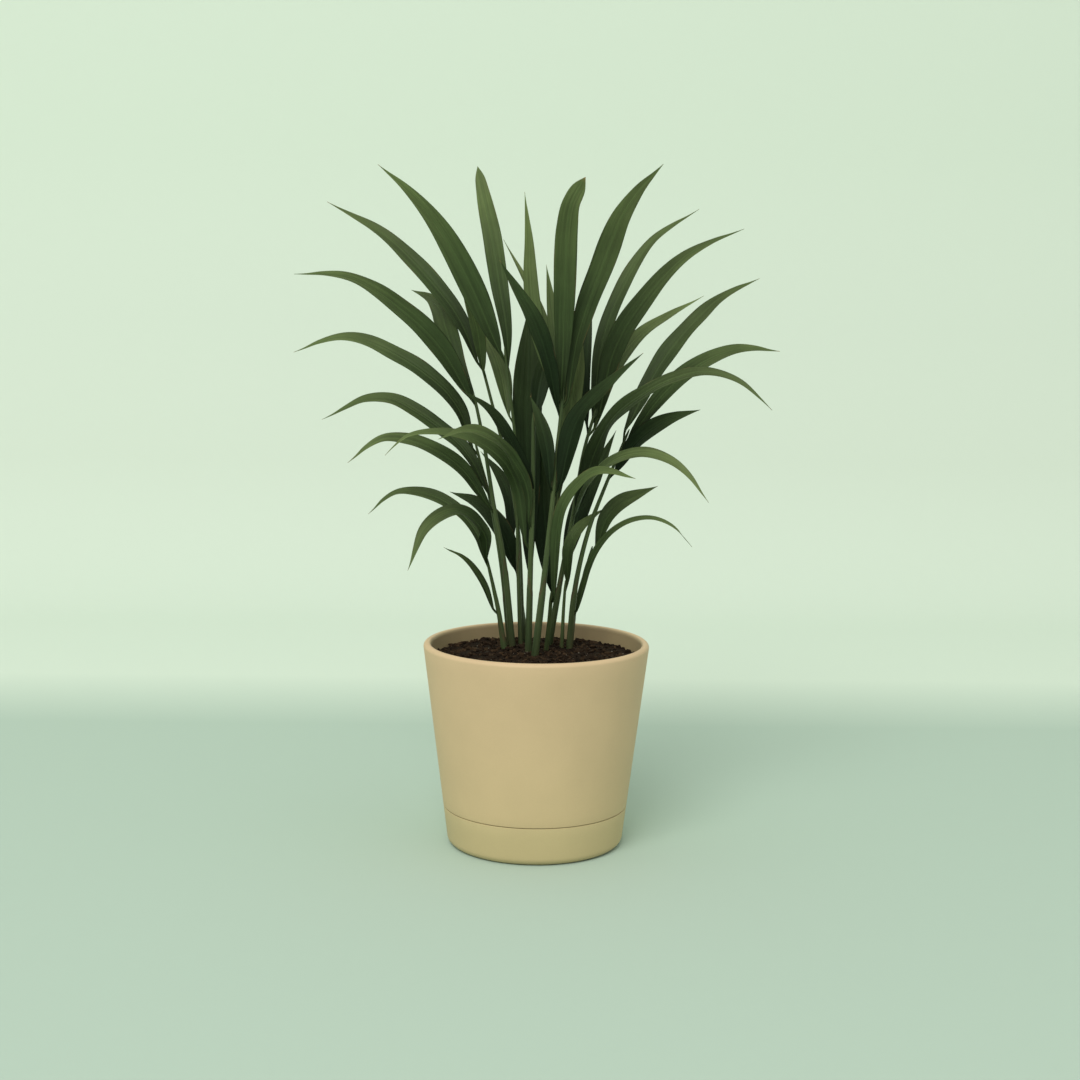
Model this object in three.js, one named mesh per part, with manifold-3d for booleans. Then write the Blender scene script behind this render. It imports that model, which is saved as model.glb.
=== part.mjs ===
// A young palm clump in a tapered round pot that stands in its own flush saucer.
//
// Millimetres, +Z up. The origin is the centre of the saucer's underside, on the surface
// that the pot stands on. +X is to the right and -Y is the front.

import * as THREE from "three";
import { mergeVertices } from "three/addons/utils/BufferGeometryUtils.js";
import Module from "manifold-3d";

const wasm = await Module();
wasm.setup();

// ---------------------------------------------------------------- driving dimensions

const POT_HEIGHT = 127; // surface to the top of the rim
const RIM_RADIUS = 70; // outside of the rim
const TAPER = 0.125; // the outside radius lost for each mm below the rim
const POT_WALL = 5;
const POT_FLOOR = 4;
const FOOT_HEIGHT = 3; // the ring under the floor that keeps the drain holes clear
const FOOT_WIDTH = 4;
const DRAIN_HOLES = 4;
const DRAIN_RADIUS = 4;
const DRAIN_CIRCLE = 28;

const SEAM_HEIGHT = 24; // top edge of the saucer
const SAUCER_WALL = 2;
const SAUCER_FLOOR = 2.5;
const SAUCER_CORNER = 5; // rounding of the bottom edge
const SEAM_CHAMFER = 0.4; // on both edges of the seam
const SEAM_GAP = 0.4;
const NEST_GAP = 0.5; // saucer wall to the stepped-in foot of the pot
const REST_GAP = 0.3; // between pieces that rest on each other

const SOIL_DROP = 10; // rim top down to the soil where it meets the pot
const SOIL_MOUND = 2; // rise of the soil in the middle
const SOIL_GAP = 0.4; // soil to pot
const ROOT_DEPTH = 16; // how far a petiole is set into the soil
const SOCKET_GAP = 0.4; // petiole to soil

const PLANT_HEIGHT = 302; // soil to the highest leaflet tip
const PLANT_SPREAD = 301; // leftmost to rightmost leaflet tip
const JOINT_GAP = 0.7; // petiole to leaflet base
const LEAFLET_BASE = 2.4; // width of a leaflet where it leaves its petiole
const MIDRIB = 1.1; // thickness of a leaflet along its middle
const FOLD = 14; // degrees that each half of a leaflet rises from its midrib

// The size of the clump that the positions in FRONDS were taken at.
const DRAWN_HEIGHT = 302;
const DRAWN_SPREAD = 301;

const ROUND_SIDES = 64; // facets round the pot, the saucer and the soil
const PETIOLE_SIDES = 8;
const PETIOLE_STEP = 15; // longest stretch of a petiole between two rings

// Shares of the way along a leaflet that have a ring. It ends in a point.
const LEAFLET_STATIONS = [0, 0.05, 0.13, 0.24, 0.37, 0.5, 0.63, 0.76, 0.87, 0.95];

// ---------------------------------------------------------------- the clump

// Each frond is a petiole and the leaflets on it. Positions are [x, y, height above the
// edge of the soil]. A petiole has the diameters base and end. A leaflet leaves its petiole
// a share `at` of the way up, on the side that `out` names, runs through `via` to `tip`,
// and its upper face looks towards `face`, raised by `lift`. out and face are degrees
// round from +X towards +Y, so 270 is the front. It has its full width at a share
// `fullest` of its length: a high `swell` widens it later, and a low `taper` makes it blunt.
const FRONDS = [
  {
    name: "low_left",
    petiole: { base: 5, end: 2, path: [[-20, 20, 0], [-24, 18, 26], [-29, 12, 50], [-32, 6, 64]] },
    leaflets: [
      { at: 0.98, out: 270, width: 12, face: 262, lift: 42, tone: "mid",
        via: [[-33, -8, 80], [-48, -27, 95], [-65, -44, 88]], tip: [-76, -54, 62] },
      { at: 0.93, out: 120, width: 9, face: 275, lift: 48, tone: "mid",
        via: [[-39, 13, 79], [-62, 22, 97], [-90, 31, 99]], tip: [-108, 38, 84] },
      { at: 0.54, out: 190, width: 5.5, face: 285, lift: 45, tone: "mid",
        via: [[-34, 15, 45], [-45, 10, 60]], tip: [-58, 4, 68] },
    ],
  },
  {
    name: "far_left",
    petiole: { base: 4.4, end: 2.2,
      path: [[-15, 23, 0], [-21, 21, 58], [-27, 20, 90], [-34, 15, 134], [-40, 10, 163]] },
    leaflets: [
      { at: 0.985, out: 225, width: 15, face: 262, lift: 40, tone: "mid", fullest: 0.34,
        via: [[-60, -4, 192], [-84, -18, 216], [-112, -36, 233]], tip: [-141, -56, 234] },
      { at: 0.955, out: 100, width: 14, face: 285, lift: 22, tone: "mid", fullest: 0.5,
        via: [[-50, 19, 179], [-59, 40, 204], [-67, 63, 219]], tip: [-84, 88, 226] },
      { at: 0.65, out: 150, width: 11, face: 280, lift: 42, tone: "mid",
        via: [[-44, 24, 125], [-64, 30, 142], [-100, 41, 159]], tip: [-139, 54, 143] },
      { at: 0.6, out: 215, width: 11.5, face: 268, lift: 42, tone: "mid",
        via: [[-48, 9, 118], [-70, 2, 132], [-95, -3, 136]], tip: [-116, -8, 121] },
    ],
  },
  {
    name: "middle_left",
    petiole: { base: 3.6, end: 2,
      path: [[-17, 31, 0], [-23, 30, 55], [-31, 28, 100], [-36, 29, 118], [-40, 30, 133]] },
    leaflets: [
      { at: 0.97, out: 170, width: 13.5, face: 280, lift: 42, tone: "mid", fullest: 0.38,
        via: [[-52, 34, 156], [-88, 47, 184], [-125, 62, 196]], tip: [-160, 78, 185] },
    ],
  },
  {
    name: "back_left",
    petiole: { base: 3.6, end: 2,
      path: [[-9, 38, 0], [-13, 36, 82], [-21, 34, 124], [-29, 32, 155], [-37, 30, 185]] },
    leaflets: [
      { at: 0.985, out: 160, width: 13, face: 282, lift: 38, tone: "mid", fullest: 0.36,
        via: [[-48, 36, 205], [-65, 43, 228], [-98, 60, 260]], tip: [-138, 82, 282] },
      { at: 0.955, out: 265, width: 9.5, face: 292, lift: 8, tone: "light",
        via: [[-38, 19, 202], [-44, 13, 222]], tip: [-49, 6, 239] },
    ],
  },
  {
    name: "tall_left",
    petiole: { base: 3, end: 2,
      path: [[-10, 27, 0], [-12, 23, 58], [-14, 13, 131], [-21, 2, 191]] },
    leaflets: [
      { at: 0.985, out: 200, width: 16, face: 285, lift: 14, tone: "mid", fullest: 0.34,
        via: [[-39, -6, 224], [-57, -14, 258], [-75, -22, 281]], tip: [-95, -30, 298] },
      { at: 0.96, out: 60, width: 12, face: 262, lift: 18, tone: "mid", fullest: 0.55, taper: 0.48,
        via: [[-20, 7, 203], [-25, 14, 232], [-29, 20, 257], [-35, 28, 284]], tip: [-39, 34, 302] },
      { at: 0.8, out: 165, width: 12, face: 290, lift: 30, tone: "light",
        via: [[-23, 25, 174], [-31, 41, 193]], tip: [-44, 58, 210] },
    ],
  },
  {
    name: "front",
    petiole: { base: 4.6, end: 2.6, path: [[-5, 7, 0], [-4, 3, 61], [-3, 0, 98], [-3, -4, 153]] },
    leaflets: [
      { at: 0.6, out: 235, width: 11.5, face: 262, lift: 42, tone: "mid", fullest: 0.6, swell: 1.1,
        via: [[-6, -6, 105], [-12, -14, 120], [-26, -33, 139], [-42, -46, 145]],
        tip: [-58, -58, 140] },
      { at: 0.52, out: 195, width: 9, face: 265, lift: 42, tone: "mid",
        via: [[-16, -3, 116], [-38, -7, 136], [-62, -12, 141], [-80, -17, 138]],
        tip: [-92, -22, 127] },
      { at: 0.74, out: 260, width: 9.5, face: 290, lift: 34, tone: "dark",
        via: [[-12, -10, 128], [-28, -25, 154]], tip: [-45, -44, 168] },
      { at: 0.38, out: 90, width: 19, face: 274, lift: 4, tone: "dark", fullest: 0.72, swell: 0.85,
        via: [[-5.5, 15, 72], [-5.2, 22.8, 96], [-7, 22, 146], [-6, 25, 188]],
        tip: [-7, 35, 215] },
      { at: 0.97, out: 75, width: 12, face: 266, lift: 8, tone: "dark", fullest: 0.5,
        via: [[1, 9, 169], [4, 17, 184]], tip: [3, 24, 200] },
    ],
  },
  {
    name: "inner_left",
    petiole: { base: 3.2, end: 2,
      path: [[-6, 41, 0], [-10, 42, 29], [-14, 44, 55], [-17, 46, 69]] },
    leaflets: [
      { at: 0.97, out: 100, width: 10, face: 285, lift: 26, tone: "dark",
        via: [[-18, 60, 92], [-25, 70, 107]], tip: [-38, 84, 121] },
      { at: 0.76, out: 250, width: 14, face: 282, lift: 38, tone: "dark",
        via: [[-22, 36, 74], [-38, 44, 91]], tip: [-57, 56, 97] },
    ],
  },
  {
    name: "tall_centre",
    petiole: { base: 5, end: 2.4,
      path: [[-1, -5, 0], [3, -8, 38], [8, -10, 87], [12, -10, 133], [15, -10, 168]] },
    leaflets: [
      { at: 0.985, out: 250, width: 14, face: 262, lift: 12, tone: "mid", fullest: 0.6, taper: 0.35,
        via: [[14.6, -18, 200], [15, -23, 227], [15.6, -32, 257], [18, -39, 276]],
        tip: [26, -44, 291] },
      { at: 0.96, out: 350, width: 15.5, face: 256, lift: 18, tone: "mid", fullest: 0.58, swell: 1,
        via: [[23, -14, 199], [36, -20, 238], [52, -31, 277]], tip: [71, -42, 299] },
      { at: 0.93, out: 215, width: 12, face: 292, lift: 12, tone: "dark", fullest: 0.5,
        via: [[6, -24, 184], [-4, -38, 211], [-13, -46, 226]], tip: [-23, -54, 243] },
      { at: 0.965, out: 130, width: 10, face: 275, lift: 10, tone: "light", fullest: 0.42,
        via: [[6, -4, 179], [-1, -1, 203], [-5, 1, 226], [-6.5, 3, 254]], tip: [-9.5, 4, 285] },
      { at: 0.985, out: 60, width: 8.5, face: 268, lift: 8, tone: "mid",
        via: [[12, 0, 188], [9, 7, 207]], tip: [4, 16, 242] },
      { at: 0.93, out: 120, width: 6.5, face: 290, lift: 20, tone: "light",
        via: [[8, 10, 186], [0, 22, 215]], tip: [-23, 48, 258] },
      { at: 0.62, out: 35, width: 12.5, face: 262, lift: 10, tone: "light", fullest: 0.66,
        via: [[14.5, -1, 126], [18.5, 2, 148], [21.5, 3, 170]], tip: [26, 10, 206] },
      { at: 0.67, out: 331, width: 15, face: 256, lift: 38, tone: "dark", fullest: 0.4, swell: 0.6,
        via: [[23, -22, 150], [38, -38, 169]], tip: [60, -60, 191] },
      { at: 0.68, out: 225, width: 9.5, face: 280, lift: 12, tone: "dark", fullest: 0.5,
        via: [[5.4, -13.6, 132], [1, -12.5, 148]], tip: [-5, -9.5, 163] },
    ],
  },
  {
    name: "tall_right",
    petiole: { base: 4.6, end: 2.2,
      path: [[8, 33, 0], [15, 30, 44], [22, 27, 83], [29, 25, 128], [36, 24, 153]] },
    leaflets: [
      { at: 0.985, out: 330, width: 15, face: 255, lift: 34, tone: "mid", fullest: 0.36,
        via: [[47, 18, 192], [68, 14, 226], [92, 8, 250]], tip: [123, -2, 264] },
      { at: 0.965, out: 90, width: 10.5, face: 250, lift: 32, tone: "mid",
        via: [[39, 34, 192], [49, 42, 222], [70, 54, 257]], tip: [102, 70, 279] },
      { at: 0.93, out: 20, width: 9.5, face: 252, lift: 38, tone: "light",
        via: [[46, 38, 174], [64, 52, 199]], tip: [107, 80, 224] },
      { at: 0.94, out: 180, width: 9.5, face: 265, lift: 10, tone: "dark",
        via: [[28, 34, 172], [30, 46, 202]], tip: [34, 60, 229] },
      { at: 0.62, out: 290, width: 14, face: 258, lift: 42, tone: "mid", fullest: 0.32, swell: 0.6,
        via: [[37, 4, 134], [50, -14, 156], [92, -46, 180], [116, -58, 175]],
        tip: [134, -68, 159] },
      { at: 0.6, out: 280, width: 10.5, face: 255, lift: 46, tone: "light",
        via: [[31, 1, 109], [48, -22, 127], [66, -34, 131], [84, -46, 124]], tip: [100, -56, 104] },
      { at: 0.4, out: 70, width: 14, face: 255, lift: 16, tone: "dark",
        via: [[27, 40, 88], [38, 46, 113]], tip: [50, 52, 138] },
      { at: 0.3, out: 170, width: 17, face: 272, lift: 4, tone: "dark", fullest: 0.5,
        via: [[5, 28, 78], [3, 29, 108]], tip: [2, 29, 146] },
    ],
  },
  {
    name: "front_right",
    petiole: { base: 3.6, end: 2.6, path: [[6, 12, 0], [8, 4, 23], [9, -4, 42]] },
    leaflets: [
      { at: 0.95, out: 300, width: 8, face: 252, lift: 36, tone: "mid", fullest: 0.55, taper: 0.9,
        via: [[11.5, -15, 80], [15, -22, 98], [22, -28, 110], [36, -39, 121]],
        tip: [57, -57, 118] },
    ],
  },
  {
    name: "inner_right",
    petiole: { base: 3.2, end: 2, path: [[16, 20, 0], [17, 18, 27], [18, 16, 46]] },
    leaflets: [
      { at: 0.97, out: 60, width: 8.5, face: 256, lift: 36, tone: "mid", fullest: 0.5,
        via: [[20, 12, 69], [25, 13, 78.5], [33, 20, 85]], tip: [43, 25, 91] },
    ],
  },
  {
    name: "right",
    petiole: { base: 4.8, end: 2,
      path: [[21, 19, 0], [24, 17, 40], [32, 14, 78], [41, 10, 104], [56, 6, 142]] },
    leaflets: [
      { at: 0.985, out: 130, width: 13, face: 252, lift: 30, tone: "mid", fullest: 0.4,
        via: [[74, 14, 181], [93, 22, 205], [113, 30, 223]], tip: [138, 40, 235] },
      { at: 0.96, out: 310, width: 12.5, face: 258, lift: 38, tone: "mid",
        via: [[75, -6, 164], [97, -17, 184], [119, -28, 193]], tip: [141, -42, 192] },
      { at: 0.83, out: 320, width: 13, face: 256, lift: 36, tone: "dark",
        via: [[60, -6, 136], [76, -18, 149]], tip: [96, -33, 157] },
      { at: 0.27, out: 320, width: 5.5, face: 262, lift: 46, tone: "mid",
        via: [[34, 3, 62], [46, -8, 81], [65, -22, 91], [80, -33, 88]], tip: [92, -42, 76] },
    ],
  },
  {
    name: "low_right",
    petiole: { base: 2.8, end: 2,
      path: [[22, 29, 0], [25, 24, 30], [30, 19, 50], [34.5, 14, 68]] },
    leaflets: [
      { at: 0.985, out: 350, width: 12, face: 252, lift: 34, tone: "mid", fullest: 0.5, swell: 1,
        via: [[42.7, 12, 86], [52, 13, 96]], tip: [75, 17, 106] },
    ],
  },
];

// ---------------------------------------------------------------- sizes that follow

const LIP_RADIUS = POT_WALL / 2;
const LIP_HEIGHT = POT_HEIGHT - LIP_RADIUS; // centre of the rounded lip
const POT_BASE = SAUCER_FLOOR + REST_GAP;
const FLOOR_UNDERSIDE = POT_BASE + FOOT_HEIGHT;
const FLOOR_TOP = FLOOR_UNDERSIDE + POT_FLOOR;
const SOIL_EDGE = POT_HEIGHT - SOIL_DROP;

const outside = (z) => RIM_RADIUS - TAPER * (LIP_HEIGHT - z);
const cavity = (z) => outside(z) - POT_WALL;
const saucerInside = (z) => outside(z) - SAUCER_WALL;
const nest = (z) => saucerInside(z) - NEST_GAP;
const soilSurface = (r) => SOIL_EDGE + SOIL_MOUND * (1 - (r / cavity(SOIL_EDGE)) ** 2);

// ---------------------------------------------------------------- helpers

const radians = THREE.MathUtils.degToRad;

// A direction from degrees round from +X and degrees raised from level.
function direction(round, raised = 0) {
  const level = Math.cos(radians(raised));
  return new THREE.Vector3(
    level * Math.cos(radians(round)),
    level * Math.sin(radians(round)),
    Math.sin(radians(raised)),
  );
}

// The part of a vector square to a unit vector, made one long.
function squareTo(vector, unit) {
  return vector.clone().addScaledVector(unit, -vector.dot(unit)).normalize();
}

// A lathe about Z from [radius, height] pairs that run from the axis, round and back.
function turned(profile) {
  const points = profile.map(([r, z]) => new THREE.Vector2(r, z));
  const shape = new THREE.LatheGeometry(points, ROUND_SIDES);
  return shape.rotateX(Math.PI / 2);
}

// Points on an arc, from one angle to the other, in degrees from +r towards +z.
function arc(centre, radius, from, to, steps) {
  return Array.from({ length: steps + 1 }, (_, i) => {
    const angle = radians(from + ((to - from) * i) / steps);
    return [centre[0] + radius * Math.cos(angle), centre[1] + radius * Math.sin(angle)];
  });
}

// A closed skin over rings with the same number of points, with a point at each end. The
// second half of a ring is split into triangles as the mirror of the first half, so that
// the two faces of a thin blade don't cross where it twists.
function loft(rings, start, end) {
  const sides = rings[0].length;
  const points = [...rings.flat(), start, end];
  const first = points.length - 2;
  const last = points.length - 1;
  const top = (rings.length - 1) * sides;
  const faces = [];
  for (let k = 0; k < sides; k++) {
    const next = (k + 1) % sides;
    faces.push(first, next, k);
    faces.push(last, top + k, top + next);
    for (let ring = 0; ring < rings.length - 1; ring++) {
      const low = ring * sides;
      const high = low + sides;
      const mirrored = k >= sides / 2;
      faces.push(low + k, low + next, mirrored ? high + k : high + next);
      faces.push(mirrored ? low + next : low + k, high + next, high + k);
    }
  }
  const shape = new THREE.BufferGeometry().setFromPoints(points);
  shape.setIndex(faces);
  return shape;
}

function toSolid(shape) {
  const bare = new THREE.BufferGeometry();
  bare.setAttribute("position", shape.getAttribute("position"));
  bare.setIndex(shape.getIndex());
  const merged = mergeVertices(bare, 1e-3);
  return new wasm.Manifold(
    new wasm.Mesh({
      numProp: 3,
      vertProperties: merged.getAttribute("position").array,
      triVerts: new Uint32Array(merged.getIndex().array),
    }),
  );
}

function toGeometry(solid) {
  const mesh = solid.getMesh();
  const shape = new THREE.BufferGeometry();
  shape.setAttribute("position", new THREE.BufferAttribute(mesh.vertProperties, 3));
  shape.setIndex(new THREE.BufferAttribute(mesh.triVerts, 1));
  return shape;
}

// The shape with every one of the cutters taken out of it.
function cutFrom(shape, cutters) {
  const cut = cutters.reduce((solid, cutter) => solid.subtract(toSolid(cutter)), toSolid(shape));
  return toGeometry(cut);
}

function material(colour, roughness) {
  return new THREE.MeshStandardMaterial({ color: colour, roughness, metalness: 0 });
}

function piece(name, shape, look) {
  shape.computeVertexNormals();
  const mesh = new THREE.Mesh(shape, look());
  mesh.name = name;
  return mesh;
}

const potLook = () => material(0xc7b287, 0.62);
const saucerLook = () => material(0xb6ac7a, 0.62);
const soilLook = () => material(0x261b14, 0.97);
const petioleLook = () => material(0x586a3e, 0.55);
const leafletLooks = {
  light: () => material(0x687a48, 0.5),
  mid: () => material(0x465c34, 0.5),
  dark: () => material(0x2a3822, 0.5),
};

// ---------------------------------------------------------------- pot, saucer and soil

function potShape() {
  const seam = SEAM_HEIGHT + SEAM_GAP;
  const footInside = nest(POT_BASE) - FOOT_WIDTH;
  const body = turned([
    [0, FLOOR_UNDERSIDE],
    [footInside, FLOOR_UNDERSIDE],
    [footInside, POT_BASE],
    [nest(POT_BASE), POT_BASE],
    [nest(seam), seam],
    [outside(seam) - SEAM_CHAMFER, seam],
    [outside(seam), seam + SEAM_CHAMFER],
    ...arc([RIM_RADIUS - LIP_RADIUS, LIP_HEIGHT], LIP_RADIUS, 0, 180, 8),
    [cavity(FLOOR_TOP), FLOOR_TOP],
    [0, FLOOR_TOP],
  ]);
  return cutFrom(body, drainHoles());
}

function drainHoles() {
  return Array.from({ length: DRAIN_HOLES }, (_, i) => {
    const centre = direction((360 * (i + 0.5)) / DRAIN_HOLES).multiplyScalar(DRAIN_CIRCLE);
    const hole = new THREE.CylinderGeometry(DRAIN_RADIUS, DRAIN_RADIUS, 3 * POT_FLOOR, 16);
    hole.rotateX(Math.PI / 2);
    return hole.translate(centre.x, centre.y, FLOOR_UNDERSIDE + POT_FLOOR / 2);
  });
}

function saucerShape() {
  const corner = [outside(SAUCER_CORNER) - SAUCER_CORNER, SAUCER_CORNER];
  return turned([
    [0, 0],
    ...arc(corner, SAUCER_CORNER, -90, 0, 6),
    [outside(SEAM_HEIGHT), SEAM_HEIGHT - SEAM_CHAMFER],
    [outside(SEAM_HEIGHT) - SEAM_CHAMFER, SEAM_HEIGHT],
    [saucerInside(SEAM_HEIGHT), SEAM_HEIGHT],
    [saucerInside(SAUCER_FLOOR), SAUCER_FLOOR],
    [0, SAUCER_FLOOR],
  ]);
}

// The soil fills the pot, with a socket for each petiole.
function soilShape(petioles) {
  const bottom = FLOOR_TOP + REST_GAP;
  const edge = cavity(SOIL_EDGE) - SOIL_GAP;
  const surface = [1, 0.85, 0.65, 0.4].map((share) => [edge * share, soilSurface(edge * share)]);
  const fill = turned([
    [0, bottom],
    [cavity(bottom) - SOIL_GAP, bottom],
    ...surface,
    [0, soilSurface(0)],
  ]);
  return cutFrom(fill, petioles.map((petiole) => petiole.socket));
}

// ---------------------------------------------------------------- petioles and leaflets

// A place in the clump, from its position at the drawn size.
function spot([x, y, up]) {
  const wide = PLANT_SPREAD / DRAWN_SPREAD;
  const high = PLANT_HEIGHT / DRAWN_HEIGHT;
  return new THREE.Vector3(x * wide, y * wide, SOIL_EDGE + up * high);
}

// One ring of a petiole, or of the socket that is `spare` wider all round.
function petioleRing(centre, along, radius) {
  const right = squareTo(new THREE.Vector3(1, 0, 0), along);
  const back = along.clone().cross(right);
  return Array.from({ length: PETIOLE_SIDES }, (_, k) => {
    const angle = (2 * Math.PI * (k + 0.5)) / PETIOLE_SIDES;
    return centre
      .clone()
      .addScaledVector(right, radius * Math.cos(angle))
      .addScaledVector(back, radius * Math.sin(angle));
  });
}

function makePetiole({ base, end, path }) {
  const places = path.map(spot);
  const ground = places[0];
  const rise = places[1].clone().sub(ground).normalize();
  const root = ground.clone().addScaledVector(rise, -ROOT_DEPTH);
  const curve = new THREE.CatmullRomCurve3([root, ...places]);
  const radiusAt = (share) => THREE.MathUtils.lerp(base, end, Math.min(1, share)) / 2;
  const steps = Math.ceil(curve.getLength() / PETIOLE_STEP);
  const rings = [];
  for (let i = 0; i <= steps; i++) {
    const share = i / steps;
    rings.push(petioleRing(curve.getPointAt(share), curve.getTangentAt(share), radiusAt(share)));
  }
  const crown = curve.getPointAt(1).addScaledVector(curve.getTangentAt(1), end / 4);
  const socketRadius = base / 2 + SOCKET_GAP;
  const below = root.clone().addScaledVector(rise, -SOCKET_GAP);
  const above = ground.clone().addScaledVector(rise, ROOT_DEPTH);
  const socket = loft(
    [petioleRing(below, rise, socketRadius), petioleRing(above, rise, socketRadius)],
    below,
    above,
  );
  return { curve, radiusAt, shape: loft(rings, root, crown), socket };
}

// Where a leaflet starts: beside its petiole, clear of it by the joint gap.
function leafletStart(petiole, { at, out, via }) {
  const centre = petiole.curve.getPointAt(at);
  const along = petiole.curve.getTangentAt(at);
  const away = squareTo(direction(out), along);
  const heading = spot(via[0]).sub(centre).normalize();
  const lean = Math.abs(heading.dot(along));
  const reach = petiole.radiusAt(at) + JOINT_GAP + (LEAFLET_BASE / 2) * lean;
  return centre.addScaledVector(away, reach);
}

// Share of its full width that a leaflet has at a share of the way along it.
function fullness(along, { fullest = 0.42, swell = 0.75, taper = 1.15 }) {
  const quarter = Math.PI / 2;
  return along < fullest
    ? Math.sin((quarter * along) / fullest) ** swell
    : Math.cos((quarter * (along - fullest)) / (1 - fullest)) ** taper;
}

// One ring of a leaflet: left edge, top of the midrib, right edge, underside of the midrib.
function leafletRing(centre, along, facing, halfWidth, thickness) {
  const up = squareTo(facing, along);
  const side = along.clone().cross(up);
  const reach = halfWidth * Math.cos(radians(FOLD));
  const rise = (halfWidth * Math.sin(radians(FOLD))) / 2;
  const at = (sideways, upwards) =>
    centre.clone().addScaledVector(side, sideways).addScaledVector(up, upwards);
  return [
    at(-reach, rise),
    at(0, thickness / 2 - rise),
    at(reach, rise),
    at(0, -thickness / 2 - rise),
  ];
}

function leafletShape(petiole, leaflet) {
  const start = leafletStart(petiole, leaflet);
  const curve = new THREE.CatmullRomCurve3([start, ...leaflet.via.map(spot), spot(leaflet.tip)]);
  const facing = direction(leaflet.face, leaflet.lift);
  const rings = LEAFLET_STATIONS.map((along) => {
    const narrowest = along < 0.5 ? LEAFLET_BASE : 0;
    const width = THREE.MathUtils.lerp(narrowest, leaflet.width, fullness(along, leaflet));
    const thickness = THREE.MathUtils.lerp(MIDRIB, MIDRIB / 2, along);
    return leafletRing(
      curve.getPointAt(along),
      curve.getTangentAt(along),
      facing,
      width / 2,
      thickness,
    );
  });
  return loft(rings, start, curve.getPointAt(1));
}

// ---------------------------------------------------------------- assembly

function makeFrond(frond, petiole) {
  const group = new THREE.Group();
  group.add(piece(`${frond.name}_petiole`, petiole.shape, petioleLook));
  frond.leaflets.forEach((leaflet, i) => {
    const shape = leafletShape(petiole, leaflet);
    group.add(piece(`${frond.name}_leaflet_${i + 1}`, shape, leafletLooks[leaflet.tone]));
  });
  return group;
}

const pottedPalm = new THREE.Group();
const petioles = FRONDS.map((frond) => makePetiole(frond.petiole));
pottedPalm.add(piece("saucer", saucerShape(), saucerLook));
pottedPalm.add(piece("pot", potShape(), potLook));
pottedPalm.add(piece("potting_soil", soilShape(petioles), soilLook));
FRONDS.forEach((frond, i) => pottedPalm.add(makeFrond(frond, petioles[i])));

export default pottedPalm;
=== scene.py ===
"""A young palm clump in a tapered round pot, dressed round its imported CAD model.

Metres, +Z up, in the CAD model's own frame. Every piece stands for one CAD node and takes
its place, length and width from that node's mesh.
"""

import math
import random

import bmesh
import bpy
import numpy as np
from mathutils import Euler, Matrix, Vector, noise


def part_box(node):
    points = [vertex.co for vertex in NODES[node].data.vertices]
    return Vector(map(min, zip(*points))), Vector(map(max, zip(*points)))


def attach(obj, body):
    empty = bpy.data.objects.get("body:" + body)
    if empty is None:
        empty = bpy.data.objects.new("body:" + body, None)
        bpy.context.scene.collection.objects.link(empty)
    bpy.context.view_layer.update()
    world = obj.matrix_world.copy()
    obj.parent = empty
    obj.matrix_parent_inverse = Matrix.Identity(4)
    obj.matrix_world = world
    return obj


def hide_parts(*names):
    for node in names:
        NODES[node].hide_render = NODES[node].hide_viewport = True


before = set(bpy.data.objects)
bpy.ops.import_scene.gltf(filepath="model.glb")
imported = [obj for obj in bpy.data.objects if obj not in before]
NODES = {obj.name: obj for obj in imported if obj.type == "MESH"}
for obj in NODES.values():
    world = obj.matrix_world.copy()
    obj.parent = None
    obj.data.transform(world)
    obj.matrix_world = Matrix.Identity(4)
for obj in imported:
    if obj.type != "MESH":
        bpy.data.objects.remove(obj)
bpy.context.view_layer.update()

MM = 0.001
PER_METRE = 1000  # takes metres to mm, for patterns measured in mm
ANY_TURN = (0, 6.28)  # what a random angle is drawn from
POT_HEIGHT = 0.127

# ------------------------------------------------------------------ camera, light

CAMERA_PLACE = (0, -1.083, 0.3396)
CAMERA_PITCH = math.radians(7.83)  # downwards
CAMERA_YAW = math.radians(0.09)  # to the right
CAMERA_ROLL = math.radians(-0.53)
CAMERA_LENS = 59.07


def make_camera():
    level = Vector((math.sin(CAMERA_YAW), math.cos(CAMERA_YAW), 0))
    right = Vector((math.cos(CAMERA_YAW), -math.sin(CAMERA_YAW), 0))
    down = Vector((0, 0, -1))
    forward = math.cos(CAMERA_PITCH) * level + math.sin(CAMERA_PITCH) * down
    up = math.sin(CAMERA_PITCH) * level - math.cos(CAMERA_PITCH) * down
    rolled_right = math.cos(CAMERA_ROLL) * right - math.sin(CAMERA_ROLL) * up
    rolled_up = math.sin(CAMERA_ROLL) * right + math.cos(CAMERA_ROLL) * up
    turn = Matrix((rolled_right, rolled_up, -forward)).transposed()
    data = bpy.data.cameras.new("camera")
    data.lens = CAMERA_LENS
    data.sensor_width = 36
    camera = bpy.data.objects.new("camera", data)
    camera.matrix_world = Matrix.Translation(CAMERA_PLACE) @ turn.to_4x4()
    bpy.context.scene.collection.objects.link(camera)
    bpy.context.scene.camera = camera


def make_light(name, place, target, size, power, colour):
    data = bpy.data.lights.new(name, "AREA")
    data.shape = "DISK"
    data.size = size
    data.energy = power
    data.color = colour
    light = bpy.data.objects.new(name, data)
    light.location = place
    aim = Vector(target) - Vector(place)
    light.rotation_euler = aim.to_track_quat("-Z", "Y").to_euler()
    bpy.context.scene.collection.objects.link(light)


# ------------------------------------------------------------------ shader nodes


def add(tree, kind, inputs=None, **settings):
    """A shader node with its settings and inputs, each a value or another node's output."""
    made = tree.nodes.new("ShaderNode" + kind)
    for name, value in settings.items():
        setattr(made, name, value)
    for name, value in (inputs or {}).items():
        if isinstance(value, bpy.types.NodeSocket):
            tree.links.new(value, made.inputs[name])
        else:
            made.inputs[name].default_value = value
    return made


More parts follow.
